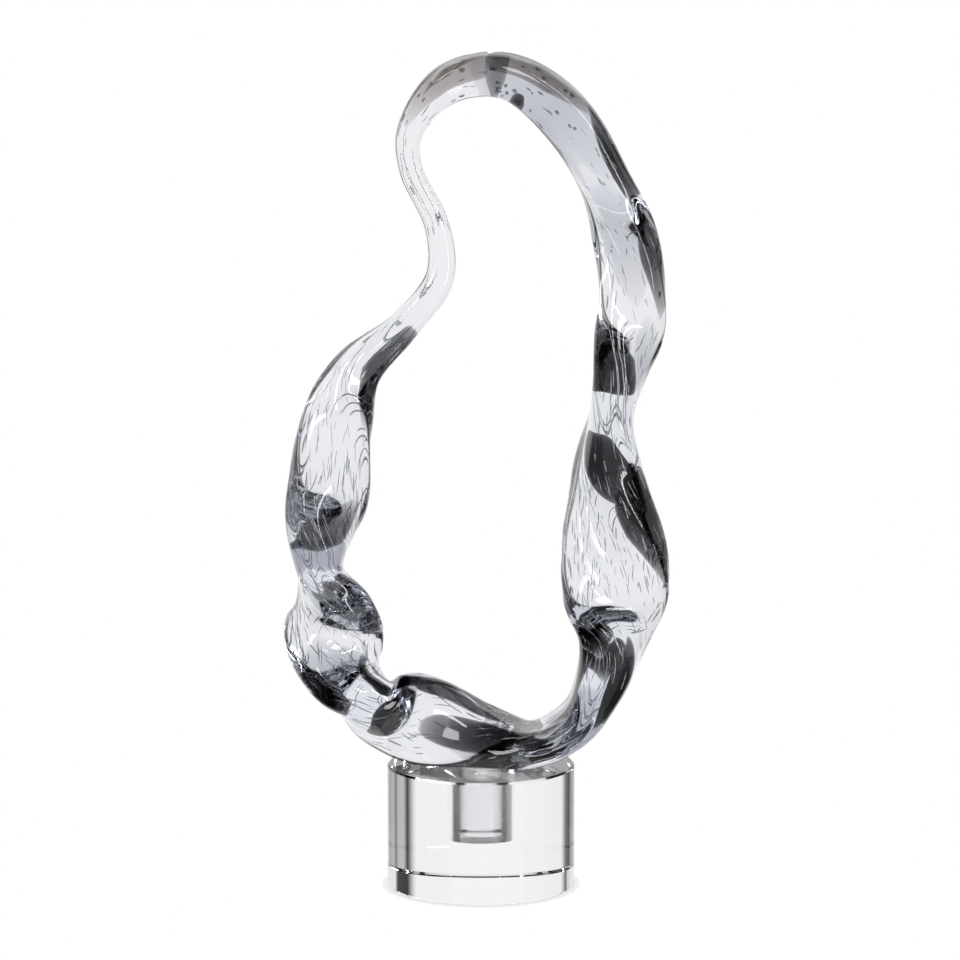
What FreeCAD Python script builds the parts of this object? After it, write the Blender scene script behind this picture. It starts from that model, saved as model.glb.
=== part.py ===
import FreeCAD, Part
import Sketcher
import math
import os

# Glass wave sculpture: a closed, twisted strand of clear glass, held by a peg in a round crystal base.
# Lengths are millimetres. The origin is the middle of the base at table level, +Z is up, the front faces -Y.

SIZES = {
    "base_diameter": 120,
    "base_height": 79,
    "rim_bevel": 1.2,
    "socket_diameter": 28,
    "socket_depth": 46,
    "socket_bevel": 0.6,
    "peg_clearance": 0.5,
    "peg_end_gap": 4,
    "peg_bevel": 1,
    "washer_thickness": 1,
    "washer_clearance": 0.8,
    "washer_width": 4,
    "loop_reach": 100,
    "loop_rise": 440,
    "strand_breadth": 70,
    "strand_thickness": 35,
    "strand_sway": 10,
}

# The strand is followed clockwise, seen from the front, from the right of its foot round to its foot again.
# A station holds its place across, forward and up from the seat, then the section's breadth and thickness,
# in percent of loop_reach, strand_sway, loop_rise, strand_breadth and strand_thickness. The last number is
# the section's turn in degrees: at 0 its broad side faces the front, and it falls as the strand goes on.
STATION_SHARES = [
    (28, -10, 2.4, 80, 69, 83),
    (-3, -35, 3.2, 74, 89, 50),
    (-38, 0, 6.2, 83, 91, 0),
    (-64.5, 30, 7.9, 84, 114, -60),
    (-77, 40, 10.5, 83, 102, -90),
    (-87, 30, 13.5, 81, 100, -130),
    (-93.5, -10, 18, 90, 91, -178),
    (-96, -30, 23.2, 92, 108, -235),
    (-102.5, -40, 28.2, 86, 85, -268),
    (-102, -30, 33.2, 87, 106, -283),
    (-97, 0, 40, 76, 95, -330),
    (-92.5, 30, 49, 66, 85, -363),
    (-79, 20, 57.5, 53, 78, -427),
    (-49.5, -20, 63.8, 40, 58, -450),
    (-26.5, -50, 70.7, 31, 52, -455),
    (-28, -60, 78.5, 27, 44, -455),
    (-44, -40, 86.4, 26, 42, -452),
    (-43.5, 0, 92.8, 30, 50, -450),
    (-20, 30, 99, 41, 71, -446),
    (18, 20, 99.9, 49, 79, -441),
    (54, -20, 93.8, 60, 99, -449),
    (80.5, -30, 83.5, 66, 89, -463),
    (93, -10, 74.5, 59, 86, -512),
    (95.5, 10, 66, 61, 86, -548),
    (89, 30, 58.2, 67, 88, -608),
    (82.5, 20, 50.7, 74, 81, -630),
    (81, -10, 43, 78, 108, -653),
    (84, -30, 34.5, 99, 100, -682),
    (86, -30, 25, 97, 91, -724),
    (83.5, -10, 16.8, 86, 113, -797),
    (68.5, 10, 8.1, 80, 77, -812),
    (49.5, 5, 4, 80, 67, -815),
]
PERCENT = 100
RING_POINTS = 16
# The section's corners: 2 makes it an ellipse, and a higher power fills them out.
CORNER_POWER = 3
STRETCHES = 8

# Heights that more than one piece uses, as expressions of the sheet.
TABLE = "0 mm"
BASE_TOP = "Sizes.base_height"
SEAT = "Sizes.base_height + Sizes.washer_thickness"
PEG_END = "Sizes.base_height - Sizes.socket_depth + Sizes.peg_end_gap"
PEG_DIAMETER = "Sizes.socket_diameter - 2 * Sizes.peg_clearance"
WASHER_BORE = "Sizes.socket_diameter - 2 * Sizes.peg_clearance + 2 * Sizes.washer_clearance"

DOC = FreeCAD.newDocument("GlassWaveSculpture")


def make_sheet():
    sheet = DOC.addObject("Spreadsheet::Sheet", "Sizes")
    for row, (name, value) in enumerate(SIZES.items(), 1):
        sheet.set(f"A{row}", name)
        sheet.set(f"B{row}", str(value))
        sheet.setAlias(f"B{row}", name)
    DOC.recompute()
    return sheet


SHEET = make_sheet()


def size(name):
    return float(SHEET.get(name))


def make_body(name):
    body = DOC.addObject("PartDesign::Body", name)
    body.Label = name
    return body


def circle_sketch(body, name, diameters, height):
    """Circles about the base's axis: each diameter and the sketch's height are expressions."""
    sketch = body.newObject("Sketcher::SketchObject", name)
    plane = next(item for item in body.Origin.OriginFeatures if item.Role == "XY_Plane")
    sketch.AttachmentSupport = [(plane, "")]
    sketch.MapMode = "FlatFace"
    sketch.setExpression("AttachmentOffset.Base.z", height)
    for number, diameter in enumerate(diameters, 1):
        start_radius = size("socket_diameter") * number
        circle = Part.Circle(FreeCAD.Vector(), FreeCAD.Vector(0, 0, 1), start_radius)
        index = sketch.addGeometry(circle, False)
        sketch.addConstraint(Sketcher.Constraint("Coincident", index, 3, -1, 1))
        sketch.addConstraint(Sketcher.Constraint("Diameter", index, 2 * start_radius))
        sketch.setExpression(f"Constraints[{sketch.ConstraintCount - 1}]", diameter)
    return sketch


def extrude(body, kind, name, sketch, length):
    feature = body.newObject(f"PartDesign::{kind}", name)
    feature.Profile = sketch
    feature.setExpression("Length", length)
    DOC.recompute()
    return feature


def bevel(body, name, feature, places, length):
    """Bevels the feature's round edges of the given diameters and heights, in millimetres."""
    edges = []
    for number, edge in enumerate(feature.Shape.Edges, 1):
        if not isinstance(edge.Curve, Part.Circle):
            continue
        for diameter, height in places:
            right_size = math.isclose(2 * edge.Curve.Radius, diameter, rel_tol=1e-6)
            right_height = math.isclose(edge.Curve.Center.z, height, rel_tol=1e-6, abs_tol=1e-6)
            if right_size and right_height:
                edges.append(f"Edge{number}")
    chamfer = body.newObject("PartDesign::Chamfer", name)
    chamfer.Base = (feature, edges)
    chamfer.setExpression("Size", length)
    DOC.recompute()
    return chamfer


def crystal_base():
    """A polished round block with bevelled rims and a blind socket in the middle of its top."""
    body = make_body("crystal_base")
    top = size("base_height")
    outline = circle_sketch(body, "BaseOutline", ["Sizes.base_diameter"], TABLE)
    block = extrude(body, "Pad", "BaseBlock", outline, "Sizes.base_height")
    rims = [(size("base_diameter"), 0), (size("base_diameter"), top)]
    bevel(body, "BaseRims", block, rims, "Sizes.rim_bevel")
    mouth = circle_sketch(body, "SocketOutline", ["Sizes.socket_diameter"], BASE_TOP)
    socket = extrude(body, "Pocket", "Socket", mouth, "Sizes.socket_depth")
    bevel(body, "SocketMouth", socket, [(size("socket_diameter"), top)], "Sizes.socket_bevel")
    return body


def locating_peg():
    """A clear rod, cemented to the strand's ground flat, that stands in the socket with room all round."""
    body = make_body("locating_peg")
    outline = circle_sketch(body, "PegOutline", [PEG_DIAMETER], PEG_END)
    rod = extrude(body, "Pad", "PegRod", outline, "Sizes.socket_depth - Sizes.peg_end_gap + Sizes.washer_thickness")
    diameter = size("socket_diameter") - 2 * size("peg_clearance")
    end = size("base_height") - size("socket_depth") + size("peg_end_gap")
    bevel(body, "PegEnd", rod, [(diameter, end)], "Sizes.peg_bevel")
    return body


def cushion_washer():
    """A thin soft ring round the peg, which keeps the glass off the crystal."""
    body = make_body("cushion_washer")
    outer = WASHER_BORE + " + 2 * Sizes.washer_width"
    outline = circle_sketch(body, "WasherOutline", [WASHER_BORE, outer], BASE_TOP)
    extrude(body, "Pad", "WasherRing", outline, "Sizes.washer_thickness")
    return body


def closed_curve(points):
    """The smooth closed curve through the points, with one step of its parameter from each to the next."""
    curve = Part.BSplineCurve()
    curve.interpolate(Points=points, PeriodicFlag=True, Parameters=list(range(len(points) + 1)))
    return curve


def strand_rings():
    """Rings of points round the strand: a squarish oval at each station, square to the strand's path."""
    seat = size("base_height") + size("washer_thickness")
    across_scale = size("loop_reach") / PERCENT
    forward_scale = size("strand_sway") / PERCENT
    up_scale = size("loop_rise") / PERCENT
    centres = [
        FreeCAD.Vector(across * across_scale, -forward * forward_scale, seat + up * up_scale)
        for across, forward, up, _, _, _ in STATION_SHARES
    ]
    rings = []
    for number, (_, _, _, breadth, thickness, turn) in enumerate(STATION_SHARES):
        along = centres[(number + 1) % len(centres)] - centres[number - 1]
        along.normalize()
        outward = FreeCAD.Vector(0, -1, 0).cross(along)
        outward.normalize()
        front = along.cross(outward)
        angle = math.radians(turn)
        broad = outward * math.cos(angle) + front * math.sin(angle)
        thin = along.cross(broad)
        half_breadth = breadth / PERCENT * size("strand_breadth") / 2
        half_thickness = thickness / PERCENT * size("strand_thickness") / 2
        ring = []
        for step in range(RING_POINTS):
            way = math.tau * step / RING_POINTS
            broad_share, thin_share = math.cos(way), math.sin(way)
            fill = (abs(broad_share) ** CORNER_POWER + abs(thin_share) ** CORNER_POWER) ** (-1 / CORNER_POWER)
            side = broad * half_breadth * broad_share + thin * half_thickness * thin_share
            ring.append(centres[number] + side * fill)
        rings.append(ring)
    return rings


def strand_surface():
    """One smooth surface, closed both along and round the strand, through every ring of points."""
    rings = [closed_curve(ring) for ring in strand_rings()]
    lines = [closed_curve(list(line)) for line in zip(*(ring.getPoles() for ring in rings))]
    poles = [list(ring) for ring in zip(*(line.getPoles() for line in lines))]
    surface = Part.BSplineSurface()
    surface.buildFromPolesMultsKnots(
        poles,
        lines[0].getMultiplicities(),
        rings[0].getMultiplicities(),
        lines[0].getKnots(),
        rings[0].getKnots(),
        True,
        True,
        lines[0].Degree,
        rings[0].Degree,
    )
    return surface


def strand_solid():
    """The surface in patches, a few stations long and half a section round, sewn into one solid."""
    stretch = len(STATION_SHARES) / STRETCHES
    half_ring = RING_POINTS / 2
    patches = []
    for number in range(STRETCHES):
        for side in range(2):
            patch = strand_surface()
            start = number * stretch
            turn = side * half_ring
            patch.segment(start, start + stretch, turn, turn + half_ring)
            patches.append(patch.toShape())
    skin = Part.Compound(patches)
    skin.sewShape()
    return Part.Solid(skin.Shells[0])


def glass_loop():
    """The strand, ground flat under its foot where it stands on the washer."""
    strand = DOC.addObject("Part::Feature", "Strand")
    strand.Shape = strand_solid()
    ground = DOC.addObject("Part::Box", "GroundAway")
    ground.setExpression("Length", "2 * (Sizes.loop_reach + Sizes.strand_breadth)")
    ground.setExpression("Width", "2 * (Sizes.loop_reach + Sizes.strand_breadth)")
    ground.setExpression("Height", SEAT)
    ground.setExpression("Placement.Base.x", "-(Sizes.loop_reach + Sizes.strand_breadth)")
    ground.setExpression("Placement.Base.y", "-(Sizes.loop_reach + Sizes.strand_breadth)")
    loop = DOC.addObject("Part::Cut", "glass_loop")
    loop.Base = strand
    loop.Tool = ground
    return loop


def check(nodes):
    for item in DOC.Objects:
        if "Invalid" in item.State or "Error" in item.State:
            raise RuntimeError(f"{item.Label} failed: {item.State}")
    for node in nodes:
        if node.Shape.isNull() or not node.Shape.isValid():
            raise RuntimeError(f"{node.Label} has no valid shape")
        box = node.Shape.BoundBox
        print(node.Label, len(node.Shape.Solids), "solids", round(node.Shape.Volume), "mm3", box)


def main():
    nodes = [crystal_base(), locating_peg(), cushion_washer(), glass_loop()]
    DOC.recompute()
    check(nodes)
    os.makedirs("parts", exist_ok=True)
    for node in nodes:
        node.Shape.exportStep(f"parts/{node.Label}.step")


main()
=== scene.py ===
import bmesh
import bpy
import math
import random
from mathutils import Matrix, Vector


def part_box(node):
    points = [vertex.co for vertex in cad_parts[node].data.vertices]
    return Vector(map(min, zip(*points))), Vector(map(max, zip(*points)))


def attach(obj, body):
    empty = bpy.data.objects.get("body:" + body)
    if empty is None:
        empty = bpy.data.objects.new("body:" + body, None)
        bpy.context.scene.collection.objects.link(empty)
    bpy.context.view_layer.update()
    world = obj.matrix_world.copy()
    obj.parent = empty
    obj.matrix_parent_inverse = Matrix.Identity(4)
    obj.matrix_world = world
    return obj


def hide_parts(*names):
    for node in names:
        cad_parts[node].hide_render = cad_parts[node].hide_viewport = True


# Glass wave sculpture: a closed, twisted strand of clear glass, held by a peg in a round crystal base.
# Metres, +Z up, the front faces -Y, and the origin is the middle of the base at table level.

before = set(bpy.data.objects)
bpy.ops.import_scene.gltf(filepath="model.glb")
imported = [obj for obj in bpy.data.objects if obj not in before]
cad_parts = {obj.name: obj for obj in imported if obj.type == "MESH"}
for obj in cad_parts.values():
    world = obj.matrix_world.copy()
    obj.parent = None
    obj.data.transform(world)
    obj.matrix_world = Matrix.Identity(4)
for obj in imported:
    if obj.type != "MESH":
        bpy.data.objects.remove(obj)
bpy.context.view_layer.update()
scene = bpy.context.scene
print("frame loaded")

percent = 100

# The strand, followed clockwise from the right of its foot. A station holds its place across, forward and
# up, its breadth and thickness, in percent of the sizes below, and the turn of its broad side in degrees.
strand = {
    "seat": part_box("glass_loop")[0].z,
    "reach": 0.100,
    "sway": 0.010,
    "rise": 0.440,
    "breadth": 0.070,
    "thickness": 0.035,
    "ringsPerStation": 12,
    "pointsRound": 96,
    "stations": [
        (28, -10, 2.4, 80, 69, 83),
        (-3, -35, 3.2, 74, 89, 50),
        (-38, 0, 6.2, 83, 91, 0),
        (-64.5, 30, 7.9, 84, 114, -60),
        (-77, 40, 10.5, 83, 102, -90),
        (-87, 30, 13.5, 81, 100, -130),
        (-93.5, -10, 18, 90, 91, -178),
        (-96, -30, 23.2, 92, 108, -235),
        (-102.5, -40, 28.2, 86, 85, -268),
        (-102, -30, 33.2, 87, 106, -283),
        (-97, 0, 40, 76, 95, -330),
        (-92.5, 30, 49, 66, 85, -363),
        (-79, 20, 57.5, 53, 78, -427),
        (-49.5, -20, 63.8, 40, 58, -450),
        (-26.5, -50, 70.7, 31, 52, -455),
        (-28, -60, 78.5, 27, 44, -455),
        (-44, -40, 86.4, 26, 42, -452),
        (-43.5, 0, 92.8, 30, 50, -450),
        (-20, 30, 99, 41, 71, -446),
        (18, 20, 99.9, 49, 79, -441),
        (54, -20, 93.8, 60, 99, -449),
        (80.5, -30, 83.5, 66, 89, -463),
        (93, -10, 74.5, 59, 86, -512),
        (95.5, 10, 66, 61, 86, -548),
        (89, 30, 58.2, 67, 88, -608),
        (82.5, 20, 50.7, 74, 81, -630),
        (81, -10, 43, 78, 108, -653),
        (84, -30, 34.5, 99, 100, -682),
        (86, -30, 25, 97, 91, -724),
        (83.5, -10, 16.8, 86, 113, -797),
        (68.5, 10, 8.1, 80, 77, -812),
        (49.5, 5, 4, 80, 67, -815),
    ],
    "fullTurns": -900,  # the whole twist, in degrees
    "cornerPower": 3,  # 2 makes the section an ellipse, and more fills its corners out
    "alongStep": 0.01,  # how far on both sides, in stations, the strand's direction is measured
    "mergeDistance": 0.00001,
}


def onCurve(before, here, ahead, beyond, part):
    # A smooth value between two stations, from the stations on both sides of them.
    rise = (ahead - before) / 2
    nextRise = (beyond - here) / 2
    return (
        here
        + rise * part
        + (3 * (ahead - here) - 2 * rise - nextRise) * part ** 2
        + (2 * (here - ahead) + rise + nextRise) * part ** 3
    )


def stationAt(place):
    # The six numbers of the strand at a place between stations. The turn goes on past the last station.
    rows = strand["stations"]
    number = math.floor(place)
    near = []
    for step in (-1, 0, 1, 2):
        lap, index = divmod(number + step, len(rows))
        row = list(rows[index])
        row[-1] += lap * strand["fullTurns"]
        near.append(row)
    return [onCurve(*four, place - number) for four in zip(*near)]


def strandCentre(place):
    across, forward, up = stationAt(place)[:3]
    return Vector(
        (
            across / percent * strand["reach"],
            -forward / percent * strand["sway"],
            strand["seat"] + up / percent * strand["rise"],
        )
    )


def ringMatrix(place):
    # Places the unit circle as the strand's section: X goes along its broad side and Z along the strand.
    breadth, thickness, turn = stationAt(place)[3:]
    step = strand["alongStep"]
    along = (strandCentre(place + step) - strandCentre(place - step)).normalized()
    outward = Vector((0, -1, 0)).cross(along).normalized()
    facing = along.cross(outward)
    angle = math.radians(turn)
    broad = outward * math.cos(angle) + facing * math.sin(angle)
    thin = along.cross(broad)
    columns = Matrix((broad, thin, along)).transposed().to_4x4()
    halfBreadth = breadth / percent * strand["breadth"] / 2
    halfThickness = thickness / percent * strand["thickness"] / 2
    halves = Matrix.Diagonal((halfBreadth, halfThickness, 1, 1))
    return Matrix.Translation(strandCentre(place)) @ columns @ halves


def makeLoop():
    bm = bmesh.new()
    # keeps each point's place across and through the strand and its way along it, in metres, for the ripples
    flow = bm.verts.layers.float_vector.new("flow")
    steps = strand["ringsPerStation"]
    rings = steps * len(strand["stations"])
    matrix = ringMatrix(0)
    first = bmesh.ops.create_circle(bm, segments=strand["pointsRound"], radius=1)
    power = strand["cornerPower"]
    for vert in first["verts"]:
        # fills out the corners of the round section
        vert.co *= (abs(vert.co.x) ** power + abs(vert.co.y) ** power) ** (-1 / power)
    bmesh.ops.transform(bm, matrix=matrix, verts=first["verts"])
    ring = first["verts"]
    edges = list(bm.edges)
    distance = 0
    for number in range(rings + 1):
        scale = matrix.to_scale()
        back = matrix.inverted()
        for vert in ring:
            local = back @ vert.co
            vert[flow] = (local.x * scale.x, local.y * scale.y, distance)
        if number == rings:
            break
        grown = bmesh.ops.extrude_edge_only(bm, edges=edges)["geom"]
        ring = [item for item in grown if isinstance(item, bmesh.types.BMVert)]
        edges = [item for item in grown if isinstance(item, bmesh.types.BMEdge)]
        nextMatrix = ringMatrix((number + 1) / steps)
        bmesh.ops.transform(bm, matrix=nextMatrix @ back, verts=ring)
        distance += (nextMatrix.translation - matrix.translation).length
        matrix = nextMatrix
    bmesh.ops.remove_doubles(bm, verts=bm.verts, dist=strand["mergeDistance"])
    bmesh.ops.recalc_face_normals(bm, faces=bm.faces)
    for face in bm.faces:
        face.smooth = True
    # grinds the foot flat
    everything = [*bm.verts, *bm.edges, *bm.faces]
    cut = bmesh.ops.bisect_plane(
        bm, geom=everything, plane_co=(0, 0, strand["seat"]), plane_no=(0, 0, -1), clear_outer=True
    )
    rim = [item for item in cut["geom_cut"] if isinstance(item, bmesh.types.BMEdge)]
    flat = bmesh.ops.holes_fill(bm, edges=rim, sides=0)["faces"]
    for face in flat:
        face.smooth = False
        for edge in face.edges:
            edge.smooth = False
    return bm


# Drawn-out air bubbles in the strand, dark ones and white ones whose white is painted reflection: from and
# to which station, how many, and the least and greatest of their lengths and thicknesses.
bubbles = {
    "seed": 11,
    "sides": 6,
    "rings": 7,
    "nearest": 0.30,  # share of the section's area that lies further in than any bubble
    "furthest": 0.93,
    "dark": [
        {"from": 0.0, "to": 3.0, "count": 110, "lengths": (0.004, 0.016), "thickness": (0.0004, 0.0009)},
        {"from": 3.0, "to": 6.5, "count": 110, "lengths": (0.004, 0.018), "thickness": (0.0004, 0.0009)},
        {"from": 6.5, "to": 9.0, "count": 70, "lengths": (0.008, 0.034), "thickness": (0.0003, 0.0007)},
        {"from": 9.0, "to": 13.0, "count": 150, "lengths": (0.005, 0.018), "thickness": (0.0003, 0.0006)},
        {"from": 13.0, "to": 18.0, "count": 12, "lengths": (0.006, 0.014), "thickness": (0.0003, 0.0006)},
        {"from": 18.6, "to": 20.2, "count": 26, "lengths": (0.0015, 0.004), "thickness": (0.0010, 0.0022)},
        {"from": 17.0, "to": 22.0, "count": 80, "lengths": (0.002, 0.006), "thickness": (0.0004, 0.0010)},
        {"from": 22.0, "to": 26.0, "count": 90, "lengths": (0.004, 0.012), "thickness": (0.0003, 0.0006)},
        {"from": 26.0, "to": 29.5, "count": 220, "lengths": (0.003, 0.011), "thickness": (0.0003, 0.0008)},
        {"from": 29.5, "to": 32.0, "count": 70, "lengths": (0.005, 0.015), "thickness": (0.0003, 0.0006)},
    ],
    # white bubbles: painted reflection for the light real bubbles throw back; the long ones are painted
    # highlight streaks
    "paintedGlint": [
        {"from": 25.6, "to": 27.9, "count": 90, "lengths": (0.005, 0.016), "thickness": (0.0003, 0.0006)},
        {"from": 24.0, "to": 25.8, "count": 12, "lengths": (0.03, 0.07), "thickness": (0.0004, 0.0008)},
        {"from": 29.5, "to": 31.0, "count": 10, "lengths": (0.03, 0.06), "thickness": (0.0004, 0.0008)},
        {"from": 13.0, "to": 16.5, "count": 5, "lengths": (0.03, 0.06), "thickness": (0.0003, 0.0006)},
        {"from": 23.4, "to": 24.6, "count": 24, "lengths": (0.005, 0.014), "thickness": (0.0003, 0.0006)},
        {"from": 20.0, "to": 22.8, "count": 30, "lengths": (0.003, 0.010), "thickness": (0.0003, 0.0006)},
        {"from": 28.6, "to": 31.2, "count": 80, "lengths": (0.006, 0.022), "thickness": (0.0003, 0.0006)},
        {"from": 31.2, "to": 33.2, "count": 80, "lengths": (0.006, 0.020), "thickness": (0.0003, 0.0006)},
        {"from": 3.8, "to": 5.6, "count": 40, "lengths": (0.005, 0.018), "thickness": (0.0003, 0.0006)},
        {"from": 6.5, "to": 7.9, "count": 30, "lengths": (0.005, 0.018), "thickness": (0.0003, 0.0006)},
        {"from": 8.6, "to": 10.2, "count": 60, "lengths": (0.006, 0.020), "thickness": (0.0003, 0.0006)},
        {"from": 11.2, "to": 12.7, "count": 30, "lengths": (0.006, 0.020), "thickness": (0.0003, 0.0006)},
    ],
}


def addDrawn(bm, sides, rings, place, reach, shape):
    # Adds a ball drawn out along the strand by reach stations each way. The shape places each of its points.
    one = bmesh.new()
    bmesh.ops.create_uvsphere(one, u_segments=sides, v_segments=rings, radius=1)
    matrices = {}
    for vert in one.verts:
        key = round(vert.co.z, 4)
        if key not in matrices:
            matrices[key] = ringMatrix(place + key * reach)
        vert.co = shape(matrices[key], vert.co)
    # made apart and then added, because an operator is slow on a large mesh
    mesh = bpy.data.meshes.new("drawn")
    one.to_mesh(mesh)
    one.free()
    bm.from_mesh(mesh)
    bpy.data.meshes.remove(mesh)


def addBubble(bm, place, across, through, length, thickness):
    # A thin spindle along the strand's twist, at a fixed share of the section's breadth and thickness.
    pace = (strandCentre(place + 0.5) - strandCentre(place - 0.5)).length

    def shape(matrix, point):
        aside = matrix.to_3x3().normalized() @ Vector((point.x, point.y, 0)) * thickness / 2
        return matrix @ Vector((across, through, 0)) + aside

    addDrawn(bm, bubbles["sides"], bubbles["rings"], place, length / 2 / pace, shape)


def makeBubbles(kind):
    chance = random.Random(bubbles["seed"])
    bm = bmesh.new()
    for group in bubbles[kind]:
        for number in range(group["count"]):
            place = chance.uniform(group["from"], group["to"])
            way = chance.uniform(0, math.tau)
            out = chance.uniform(bubbles["nearest"], bubbles["furthest"]) ** 0.5
            length = chance.uniform(*group["lengths"])
            thickness = chance.uniform(*group["thickness"])
            across, through = out * math.cos(way), out * math.sin(way)
            spot = ringMatrix(place) @ Vector((across, through, 0))
            if spot.z >= strand["seat"] + length:
                addBubble(bm, place, across, through, length, thickness)
    bmesh.ops.recalc_face_normals(bm, faces=bm.faces)
    for face in bm.faces:
        face.smooth = True
    return bm


# Veils of painted shade in the strand, dark, brown and grey, put where the clear glass shows shade: from and
# to which station, how far outward in the loop's plane they start and end, half their width that way, their
# depth towards the front and half their thickness, as shares of the section. Ends go from 1, pointed, to 5,
# blunt.
shadeVeils = {
    "sides": 20,
    "rings": 24,
    "thickness": 0.09,  # where a veil names none of its own
    "crisp": 5,  # a higher power keeps a veil's thickness closer to its edge
    "smallest": 0.000001,
    "limit": 0.94,  # share of the section that the veils stay in
    "aboveSeat": 0.001,
    "dark": [
        {"from": 25.2, "to": 26.7, "outward": (-0.5, 0.6), "half": 0.6, "depth": 0.3, "ends": (3, 1.5)},
        {"from": 25.8, "to": 28.3, "outward": (0.3, 1.15), "half": 0.44, "depth": 0.3, "ends": (2, 1)},
        {"from": 24.3, "to": 25.7, "outward": (0.75, 0.85), "half": 0.14, "depth": 0.2, "ends": (2, 3)},
        {"from": 23.2, "to": 24.5, "outward": (-0.75, -0.25), "half": 0.66, "depth": 0.2, "ends": (1, 5)},
        {"from": 19.8, "to": 21.4, "outward": (0.66, 0.5), "half": 0.3, "depth": 0.1, "ends": (1.2, 1.5)},
        {"from": 21.2, "to": 23.1, "outward": (0.5, 0.75), "half": 0.27, "depth": 0.1, "ends": (1.5, 1.2)},
        {"from": 28.6, "to": 29.15, "outward": (-0.6, -0.3), "half": 0.4, "depth": 0.4, "ends": (4, 1.5)},
        {"from": 28.7, "to": 31.4, "outward": (-0.66, -0.6), "half": 0.24, "depth": 0.3, "ends": (4, 1)},
        {"from": 28.85, "to": 29.5, "outward": (-0.45, 0.0), "half": 0.55, "depth": 0.3, "ends": (5, 1)},
        {"from": 28.8, "to": 30.5, "outward": (0.25, 0.55), "half": 0.2, "depth": 0.3, "ends": (2, 1)},
        {"from": 30.4, "to": 32.0, "outward": (-0.2, -0.5), "half": 0.13, "depth": 0.4, "ends": (1, 1)},
        {"from": 31.2, "to": 34.1, "outward": (-0.6, 0.05), "half": 0.5, "depth": 0.4, "ends": (1.2, 2)},
        {"from": 0.4, "to": 4.6, "outward": (-0.82, -0.78), "half": 0.2, "depth": 0.1, "ends": (2, 2)},
        {"from": 3.1, "to": 5.4, "outward": (-0.6, -0.7), "half": 0.22, "depth": 0.5, "ends": (2, 1.5)},
        {"from": 2.5, "to": 3.2, "outward": (0.05, 0.05), "half": 0.42, "depth": 0.2, "ends": (2, 3)},
        {"from": 3.9, "to": 5.6, "outward": (0.5, 0.75), "half": 0.36, "depth": 0.3, "ends": (2, 1.2)},
        {
            "from": 6.5, "to": 7.75, "outward": (-0.7, 0.0), "half": 0.26, "depth": 0.2, "ends": (1.2, 2),
            "thickness": 0.05,
        },
        {
            "from": 8.75, "to": 10.0, "outward": (0.2, -0.75), "half": 0.66, "depth": 0.3, "ends": (3, 1.2),
            "thickness": 0.05,
        },
        {"from": 11.1, "to": 13.1, "outward": (-0.7, -0.35), "half": 0.5, "depth": 0.2, "ends": (1, 3)},
        {
            "from": 18.6, "to": 18.94, "outward": (0.1, 0.2), "half": 0.85, "depth": 0.1, "ends": (2, 3),
            "thickness": 0.045,
        },
        {"from": 19.15, "to": 19.5, "outward": (-0.6, -0.75), "half": 0.3, "depth": 0.1, "ends": (2, 1)},
    ],
    "brown": [
        {
            "from": 17.2, "to": 18.3, "outward": (0.75, 0.8), "half": 0.14, "depth": 0.2, "ends": (1, 1),
            "thickness": 0.2,
        },
        {
            "from": 17.5, "to": 18.6, "outward": (0.35, 0.6), "half": 0.12, "depth": 0.3, "ends": (1, 1),
            "thickness": 0.2,
        },
        {
            "from": 18.95, "to": 19.7, "outward": (0.7, 0.8), "half": 0.14, "depth": 0.2, "ends": (1, 1),
            "thickness": 0.2,
        },
        {"from": 16.9, "to": 18.66, "outward": (0.3, 0.4), "half": 0.6, "depth": 0.1, "ends": (1.2, 5)},
        {"from": 18.6, "to": 20.4, "outward": (0.5, 0.6), "half": 0.4, "depth": 0.1, "ends": (5, 1)},
    ],
    "grey": [
        {"from": 20.8, "to": 22.9, "outward": (-0.1, 0.1), "half": 0.6, "depth": -0.2, "ends": (1.5, 1.5)},
        {"from": 23.0, "to": 24.8, "outward": (0.4, 0.4), "half": 0.5, "depth": -0.2, "ends": (1.5, 1.5)},
        {"from": 18.4, "to": 21.2, "outward": (0.0, 0.1), "half": 0.8, "depth": -0.2, "ends": (4, 1)},
        {"from": 8.0, "to": 8.9, "outward": (-0.3, 0.3), "half": 0.6, "depth": -0.1, "ends": (2, 4)},
        {"from": 0.0, "to": 2.0, "outward": (0.2, 0.3), "half": 0.5, "depth": -0.2, "ends": (3, 1)},
        {"from": 29.6, "to": 31.3, "outward": (0.1, -0.1), "half": 0.6, "depth": -0.2, "ends": (2, 2)},
        {"from": 4.6, "to": 6.3, "outward": (0.2, 0.3), "half": 0.6, "depth": -0.2, "ends": (3, 1)},
    ],
}


def addVeil(bm, veil):
    start, end = veil["from"], veil["to"]
    middle, reach = (start + end) / 2, (end - start) / 2
    thickness = veil.get("thickness", shadeVeils["thickness"])
    firstOutward, lastOutward = veil["outward"]
    crisp = shadeVeils["crisp"]

    def shape(matrix, point):
        turn = math.radians(stationAt(middle + point.z * reach)[-1])
        lean = firstOutward + (lastOutward - firstOutward) * (point.z + 1) / 2
        power = veil["ends"][0 if point.z < 0 else 1]
        wide = (1 - min(1, abs(point.z)) ** power) ** (1 / power)
        # the veil keeps its thickness almost to its edge, which makes the edge crisp
        roundness = abs(point.x) ** crisp + abs(point.y) ** crisp
        wide /= max(shadeVeils["smallest"], roundness) ** (1 / crisp)
        outward = lean + point.x * wide * veil["half"]
        depth = veil["depth"] + point.y * wide * thickness
        most = (shadeVeils["limit"] ** 2 - depth ** 2) ** 0.5
        outward = max(-most, min(most, outward))
        across = outward * math.cos(turn) + depth * math.sin(turn)
        through = depth * math.cos(turn) - outward * math.sin(turn)
        spot = matrix @ Vector((across, through, 0))
        spot.z = max(spot.z, strand["seat"] + shadeVeils["aboveSeat"])
        return spot

    addDrawn(bm, shadeVeils["sides"], shadeVeils["rings"], middle, reach, shape)


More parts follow.
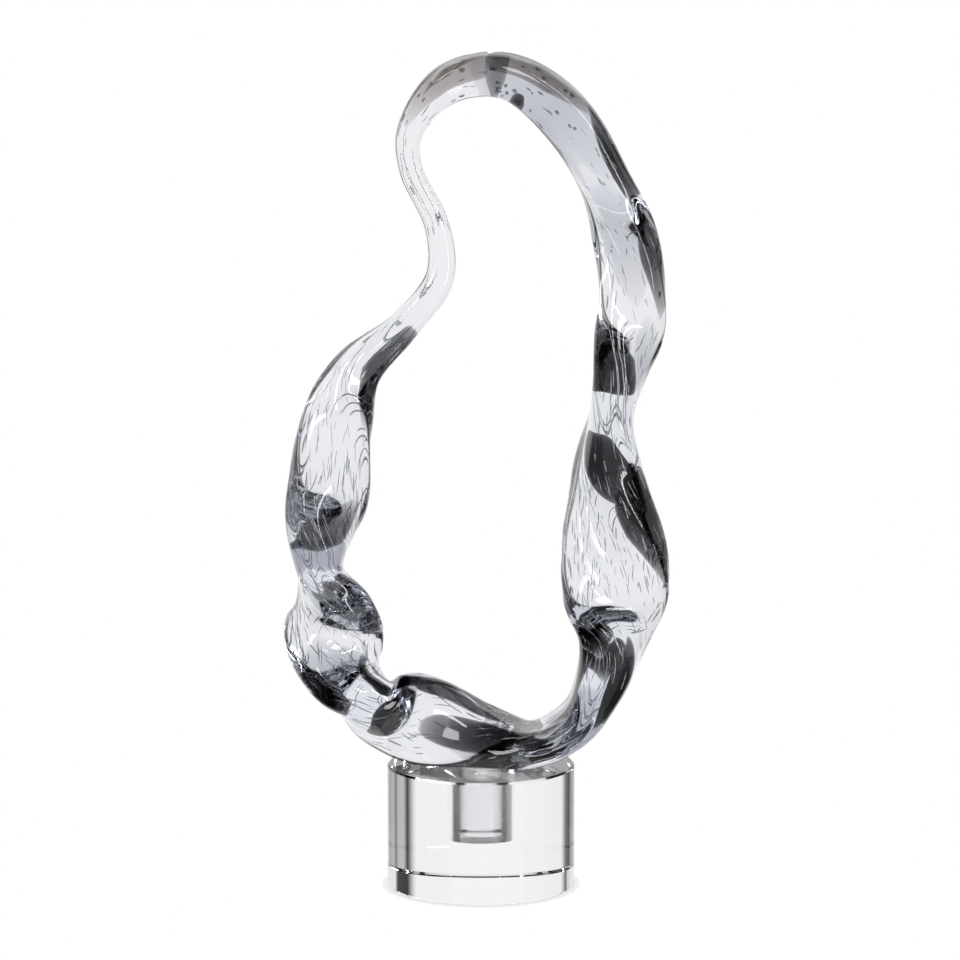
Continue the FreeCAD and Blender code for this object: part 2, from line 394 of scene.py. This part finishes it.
def makeVeils(kind):
    bm = bmesh.new()
    for veil in shadeVeils[kind]:
        addVeil(bm, veil)
    bmesh.ops.recalc_face_normals(bm, faces=bm.faces)
    for face in bm.faces:
        face.smooth = True
    return bm


base = {
    "radius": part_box("crystal_base")[1].x,
    "top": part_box("crystal_base")[1].z,
    "bevel": 0.0012,
    "socketRadius": 0.014,
    "socketDepth": 0.046,
    "socketBevel": 0.0006,
    "segments": 192,
}
samePlace = 0.000001
sharpAngle = 0.5  # radians between two faces, from which their edge stays sharp


def spinProfile(points, segments, closed=False):
    # Turns an outline of (radius, height) points once round the base's axis.
    bm = bmesh.new()
    verts = [bm.verts.new((x, 0, z)) for x, z in points]
    edges = [bm.edges.new(pair) for pair in zip(verts, verts[1:])]
    if closed:
        edges.append(bm.edges.new((verts[-1], verts[0])))
    bmesh.ops.spin(
        bm,
        geom=verts + edges,
        cent=(0, 0, 0),
        axis=(0, 0, 1),
        angle=math.tau,
        steps=segments,
        use_merge=True,
    )
    bmesh.ops.remove_doubles(bm, verts=bm.verts, dist=samePlace)
    bmesh.ops.recalc_face_normals(bm, faces=bm.faces)
    return bm


def shadeRound(bm):
    for face in bm.faces:
        face.smooth = True
    for edge in bm.edges:
        if len(edge.link_faces) == 2 and edge.calc_face_angle() > sharpAngle:
            edge.smooth = False


def makeBase():
    radius, top, bevel = base["radius"], base["top"], base["bevel"]
    socket, mouth = base["socketRadius"], base["socketBevel"]
    floor = top - base["socketDepth"]
    bm = spinProfile(
        [
            (0, 0),
            (radius - bevel, 0),
            (radius, bevel),
            (radius, top - bevel),
            (radius - bevel, top),
            (socket + mouth, top),
            (socket, top - mouth),
            (socket, floor),
            (0, floor),
        ],
        base["segments"],
    )
    shadeRound(bm)
    for face in bm.faces:
        middle = face.calc_center_median()
        inSocket = middle.xy.length < socket + mouth and middle.z > floor / 2
        face.material_index = 1 if inSocket else 0
    return bm


# the gaps keep two faces from lying in one place
peg = {"bevel": 0.001, "gap": 0.0001, "segments": 128}
washer = {"bore": 0.0143, "round": 0.0002, "gap": 0.00005, "segments": 128}


def makePeg():
    low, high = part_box("locating_peg")
    radius, end, top, bevel = high.x, low.z, high.z - peg["gap"], peg["bevel"]
    outline = [(0, end), (radius - bevel, end), (radius, end + bevel), (radius, top), (0, top)]
    bm = spinProfile(outline, peg["segments"])
    shadeRound(bm)
    return bm


def makeWasher():
    low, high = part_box("cushion_washer")
    inner, outer = washer["bore"], high.x
    bottom, top, edge = low.z + washer["gap"], high.z - washer["gap"], washer["round"]
    bm = spinProfile(
        [
            (inner + edge, bottom),
            (outer - edge, bottom),
            (outer, bottom + edge),
            (outer, top - edge),
            (outer - edge, top),
            (inner + edge, top),
            (inner, top - edge),
            (inner, bottom + edge),
        ],
        washer["segments"],
        closed=True,
    )
    shadeRound(bm)
    return bm


def newMaterial(name):
    material = bpy.data.materials.new(name)
    material.use_nodes = True
    nodes = material.node_tree.nodes
    return material, nodes, material.node_tree.links, nodes["Principled BSDF"]


def clearGlass(name, ior, color, roughness=0.0):
    material, nodes, links, shader = newMaterial(name)
    shader.inputs["Transmission Weight"].default_value = 1
    shader.inputs["IOR"].default_value = ior
    shader.inputs["Base Color"].default_value = (*color, 1)
    shader.inputs["Roughness"].default_value = roughness
    return material, nodes, links, shader


def addAbsorption(material, color, density):
    nodes = material.node_tree.nodes
    volume = nodes.new("ShaderNodeVolumeAbsorption")
    volume.inputs["Color"].default_value = (*color, 1)
    volume.inputs["Density"].default_value = density
    material.node_tree.links.new(volume.outputs[0], nodes["Material Output"].inputs["Volume"])


def addBump(nodes, links, shader, height, depth):
    bump = nodes.new("ShaderNodeBump")
    bump.inputs["Strength"].default_value = 1
    bump.inputs["Distance"].default_value = depth
    links.new(height, bump.inputs["Height"])
    links.new(bump.outputs["Normal"], shader.inputs["Normal"])


def addNoise(nodes, links, vector, scale, detail=2.0, stretch=(1, 1, 1)):
    mapping = nodes.new("ShaderNodeMapping")
    mapping.inputs["Scale"].default_value = stretch
    links.new(vector, mapping.inputs["Vector"])
    noise = nodes.new("ShaderNodeTexNoise")
    noise.inputs["Scale"].default_value = scale
    noise.inputs["Detail"].default_value = detail
    links.new(mapping.outputs["Vector"], noise.inputs["Vector"])
    return noise.outputs["Fac"]


def addPits(nodes, links, shader, scale, depth, detail=2.0, stretch=(1, 1, 1)):
    coord = nodes.new("ShaderNodeTexCoord")
    pits = addNoise(nodes, links, coord.outputs["Object"], scale, detail, stretch)
    addBump(nodes, links, shader, pits, depth)


def loopGlass():
    # Hand-drawn glass: faintly smoky, with soft ripples that run along the strand.
    material, nodes, links, shader = clearGlass("loopGlass", ior=1.5, color=(1, 1, 1))
    flow = nodes.new("ShaderNodeAttribute")
    flow.attribute_name = "flow"
    ripples = addNoise(nodes, links, flow.outputs["Vector"], scale=60, detail=1.5, stretch=(1, 1, 0.25))
    addBump(nodes, links, shader, ripples, depth=0.00009)
    addAbsorption(material, color=(0.73, 0.76, 0.85), density=13)
    return material


def bubbleAir():
    # air bubbles with a grey tint: the hairs show dark where they bend light away, and the grey adds painted
    # shade
    material, nodes, links, shader = clearGlass("bubbleAir", ior=1.45, color=(0.5, 0.52, 0.58))
    addPits(nodes, links, shader, scale=900, depth=0.00002)
    return material


def bubbleGlintPainted():
    # Bubbles painted white, which show as white hairs on the painted shade: painted reflection, for the
    # light that real bubbles throw back.
    material, nodes, links, shader = newMaterial("bubbleGlintPainted")
    shader.inputs["Base Color"].default_value = (0.9, 0.91, 0.94, 1)
    shader.inputs["Roughness"].default_value = 0.3
    addPits(nodes, links, shader, scale=900, depth=0.00002)
    return material


def paintedShadeGlass(name, color, density):
    # Painted shade in the glass has no surface of its own, so it doesn't bend light.
    material = clearGlass(name, ior=1, color=(1, 1, 1))[0]
    addAbsorption(material, color, density)
    return material


# painted shade: dark, brownish and grey tints that darken the clear glass where it shows shade
def darkPaintedShade():
    return paintedShadeGlass("darkPaintedShade", color=(0.02, 0.025, 0.04), density=800)


def brownPaintedShade():
    return paintedShadeGlass("brownPaintedShade", color=(0.47, 0.42, 0.39), density=560)


def greyPaintedShade():
    return paintedShadeGlass("greyPaintedShade", color=(0.5, 0.51, 0.57), density=230)


crystalIor = 1.52


def crystalPolished():
    color = (0.995, 0.985, 0.98)
    material, nodes, links, shader = clearGlass("crystalPolished", crystalIor, color)
    addPits(nodes, links, shader, scale=60, depth=0.00001)
    return material


def crystalGround():
    # The socket's wall is drilled and ground, so it scatters a little and has fine pits.
    color = (0.96, 0.96, 0.98)
    material, nodes, links, shader = clearGlass("crystalGround", crystalIor, color, roughness=0.22)
    addPits(nodes, links, shader, scale=700, depth=0.00006, detail=3)
    return material


def pegGlass():
    # A drawn rod, with faint lines along it.
    material, nodes, links, shader = clearGlass("pegGlass", ior=1.47, color=(0.97, 0.96, 0.99))
    addPits(nodes, links, shader, scale=300, depth=0.00002, detail=1, stretch=(1, 1, 0.05))
    return material


def washerSoft():
    color = (0.92, 0.93, 0.94)
    material, nodes, links, shader = clearGlass("washerSoft", ior=1.41, color=color, roughness=0.35)
    addPits(nodes, links, shader, scale=1500, depth=0.00004)
    return material


def finish(bm, name, materials, body, node):
    mesh = bpy.data.meshes.new(name)
    bm.to_mesh(mesh)
    bm.free()
    for material in materials:
        mesh.materials.append(material)
    piece = bpy.data.objects.new(name, mesh)
    scene.collection.objects.link(piece)
    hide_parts(node)
    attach(piece, body)


finish(makeLoop(), "glassLoop", [loopGlass()], "sculpture", "glass_loop")
finish(makeBubbles("dark"), "drawnBubbles", [bubbleAir()], "sculpture", "glass_loop")
# white bubbles of painted reflection
finish(makeBubbles("paintedGlint"), "paintedGlintBubbles", [bubbleGlintPainted()], "sculpture", "glass_loop")
# veils of painted shade inside the strand
finish(makeVeils("dark"), "darkShadeVeils", [darkPaintedShade()], "sculpture", "glass_loop")
finish(makeVeils("brown"), "brownShadeVeils", [brownPaintedShade()], "sculpture", "glass_loop")
finish(makeVeils("grey"), "greyShadeVeils", [greyPaintedShade()], "sculpture", "glass_loop")
print("strand made")
crystals = [crystalPolished(), crystalGround()]
finish(makeBase(), "crystalBase", crystals, "base", "crystal_base")
finish(makePeg(), "locatingPeg", [pegGlass()], "sculpture", "locating_peg")
finish(makeWasher(), "cushionWasher", [washerSoft()], "washer", "cushion_washer")
print("pieces made")

# The studio: a white table in a dark room, with bright panels behind and beside the object. Only the glass
# sees the panels. Their angles are in degrees, and azimuth 0 is behind the object.
studio = {
    "dark": 0.02,
    "floorRadius": 1.2,
    "floorSegments": 96,
    "floorDrop": 0.0004,
    "tableNear": 0.0605,  # how far out the glass sees the table, from the base's middle
    "tableFar": 0.063,
    "paintedShadeRear": 0.045,  # painted light and shade: the table under the base glows for the glass, darker towards its rear
    "paintedShadeFront": -0.04,
    "paintedShadeLow": 0.15,
    "shadowFull": 0.061,  # where the shadow starts to fade, and where it ends
    "shadowEnd": 0.0645,
    "shadowLift": 0.6,  # share of plain white in the shadow
    "panels": [
        {"azimuth": -8, "halfWidth": 46, "elevation": -30, "halfHeight": 70, "soft": 10, "strength": 0.95},
        {"azimuth": 172, "halfWidth": 46, "elevation": -40, "halfHeight": 60, "soft": 10, "strength": 0.5},
        {"azimuth": 50, "halfWidth": 6, "elevation": -10, "halfHeight": 14, "soft": 6, "strength": 0.55},
        {"azimuth": 65, "halfWidth": 5, "elevation": -10, "halfHeight": 14, "soft": 5, "strength": 0.3},
        {"azimuth": 78, "halfWidth": 20, "elevation": 12, "halfHeight": 20, "soft": 4, "strength": 0.8},
        {"azimuth": -78, "halfWidth": 18, "elevation": 12, "halfHeight": 20, "soft": 4, "strength": 0.8},
        {"azimuth": 138, "halfWidth": 2.5, "elevation": 20, "halfHeight": 30, "soft": 1, "strength": 12},
        {"azimuth": -146, "halfWidth": 4, "elevation": 28, "halfHeight": 16, "soft": 1, "strength": 9},
        {"azimuth": 165, "halfWidth": 9, "elevation": 33, "halfHeight": 12, "soft": 1, "strength": 9},
    ],
}


def mathNode(tree, kind, *values):
    node = tree.nodes.new("ShaderNodeMath")
    node.operation = kind
    for socket, value in zip(node.inputs, values):
        if isinstance(value, (int, float)):
            socket.default_value = value
        else:
            tree.links.new(value, socket)
    return node.outputs[0]


def fade(tree, value, nothing, full):
    # 0 to 1 as the value goes from nothing to full
    node = tree.nodes.new("ShaderNodeMapRange")
    node.interpolation_type = "SMOOTHSTEP"
    tree.links.new(value, node.inputs["Value"])
    node.inputs["From Min"].default_value = nothing
    node.inputs["From Max"].default_value = full
    return node.outputs["Result"]


def mixShader(tree, share, first, second):
    node = tree.nodes.new("ShaderNodeMixShader")
    tree.links.new(share, node.inputs[0])
    tree.links.new(first.outputs[0], node.inputs[1])
    tree.links.new(second.outputs[0], node.inputs[2])
    return node


def seenThroughGlass(tree):
    path = tree.nodes.new("ShaderNodeLightPath")
    return mathNode(tree, "MAXIMUM", path.outputs["Is Glossy Ray"], path.outputs["Is Transmission Ray"])


def makeFloor():
    bm = bmesh.new()
    matrix = Matrix.Translation((0, 0, -studio["floorDrop"]))
    radius, segments = studio["floorRadius"], studio["floorSegments"]
    bmesh.ops.create_circle(bm, cap_ends=True, segments=segments, radius=radius, matrix=matrix)
    mesh = bpy.data.meshes.new("floor")
    bm.to_mesh(mesh)
    bm.free()
    material, nodes, links, shader = newMaterial("floorWhite")
    tree = material.node_tree
    shader.inputs["Base Color"].default_value = (1, 1, 1, 1)
    shader.inputs["Roughness"].default_value = 1
    shader.inputs["Specular IOR Level"].default_value = 0
    coord = nodes.new("ShaderNodeTexCoord")
    length = nodes.new("ShaderNodeVectorMath")
    length.operation = "LENGTH"
    links.new(coord.outputs["Object"], length.inputs[0])
    away = length.outputs["Value"]
    plain = nodes.new("ShaderNodeEmission")
    clear = fade(tree, away, studio["shadowFull"], studio["shadowEnd"])
    shade = mixShader(tree, mathNode(tree, "MAXIMUM", clear, studio["shadowLift"]), shader, plain)
    # the glass sees only the table under the base, a glowing patch of painted light with painted shade
    # towards its rear, and the panels beyond it
    split = nodes.new("ShaderNodeSeparateXYZ")
    links.new(coord.outputs["Object"], split.inputs[0])
    front = fade(tree, split.outputs["Y"], studio["paintedShadeRear"], studio["paintedShadeFront"])
    paintedGlow = nodes.new("ShaderNodeEmission")
    strength = mathNode(tree, "MULTIPLY_ADD", front, 1 - studio["paintedShadeLow"], studio["paintedShadeLow"])
    links.new(strength, paintedGlow.inputs["Strength"])
    beyond = nodes.new("ShaderNodeBsdfTransparent")
    through = mixShader(tree, fade(tree, away, studio["tableNear"], studio["tableFar"]), paintedGlow, beyond)
    mix = mixShader(tree, seenThroughGlass(tree), shade, through)
    links.new(mix.outputs[0], nodes["Material Output"].inputs["Surface"])
    mesh.materials.append(material)
    floor = bpy.data.objects.new("floor", mesh)
    scene.collection.objects.link(floor)


def makeWorld():
    world = bpy.data.worlds.new("studio")
    scene.world = world
    world.use_nodes = True
    tree = world.node_tree
    tree.nodes.clear()
    coord = tree.nodes.new("ShaderNodeTexCoord")
    split = tree.nodes.new("ShaderNodeSeparateXYZ")
    tree.links.new(coord.outputs["Generated"], split.inputs[0])
    x, y, z = split.outputs
    # azimuth grows towards the object's right
    azimuth = mathNode(tree, "DEGREES", mathNode(tree, "ARCTAN2", x, y))
    elevation = mathNode(tree, "DEGREES", mathNode(tree, "ARCSINE", z))
    total = studio["dark"]
    for panel in studio["panels"]:
        apart = mathNode(tree, "SUBTRACT", azimuth, panel["azimuth"])
        aside = mathNode(tree, "WRAP", apart, 180, -180)
        above = mathNode(tree, "SUBTRACT", elevation, panel["elevation"])
        light = panel["strength"]
        rim = panel["soft"] / 2
        for away, half in ((aside, panel["halfWidth"]), (above, panel["halfHeight"])):
            inside = fade(tree, mathNode(tree, "ABSOLUTE", away), half + rim, half - rim)
            light = mathNode(tree, "MULTIPLY", inside, light)
        total = mathNode(tree, "MAXIMUM", total, light)
    glassSees = seenThroughGlass(tree)
    white = mathNode(tree, "SUBTRACT", 1, glassSees)
    level = mathNode(tree, "MULTIPLY_ADD", glassSees, total, white)
    background = tree.nodes.new("ShaderNodeBackground")
    background.inputs["Color"].default_value = (1, 1, 1, 1)
    tree.links.new(level, background.inputs["Strength"])
    output = tree.nodes.new("ShaderNodeOutputWorld")
    tree.links.new(background.outputs[0], output.inputs["Surface"])


makeFloor()
makeWorld()
print("studio made")

camera = {
    "place": (0, -3.1, 0.775),
    "downwards": 9.3784,
    "lens": 185.32,
    "sensor": 36,
    "shift": -1 / 960,  # one pixel of the photograph
    "sight": 20,
}


def makeCamera():
    data = bpy.data.cameras.new("camera")
    data.lens = camera["lens"]
    data.sensor_width = camera["sensor"]
    data.shift_x = camera["shift"]
    data.clip_end = camera["sight"]
    item = bpy.data.objects.new("camera", data)
    item.location = camera["place"]
    item.rotation_euler = (math.radians(90 - camera["downwards"]), 0, 0)
    scene.collection.objects.link(item)
    scene.camera = item


makeCamera()
scene.view_settings.view_transform = "Standard"

print("scene ready")
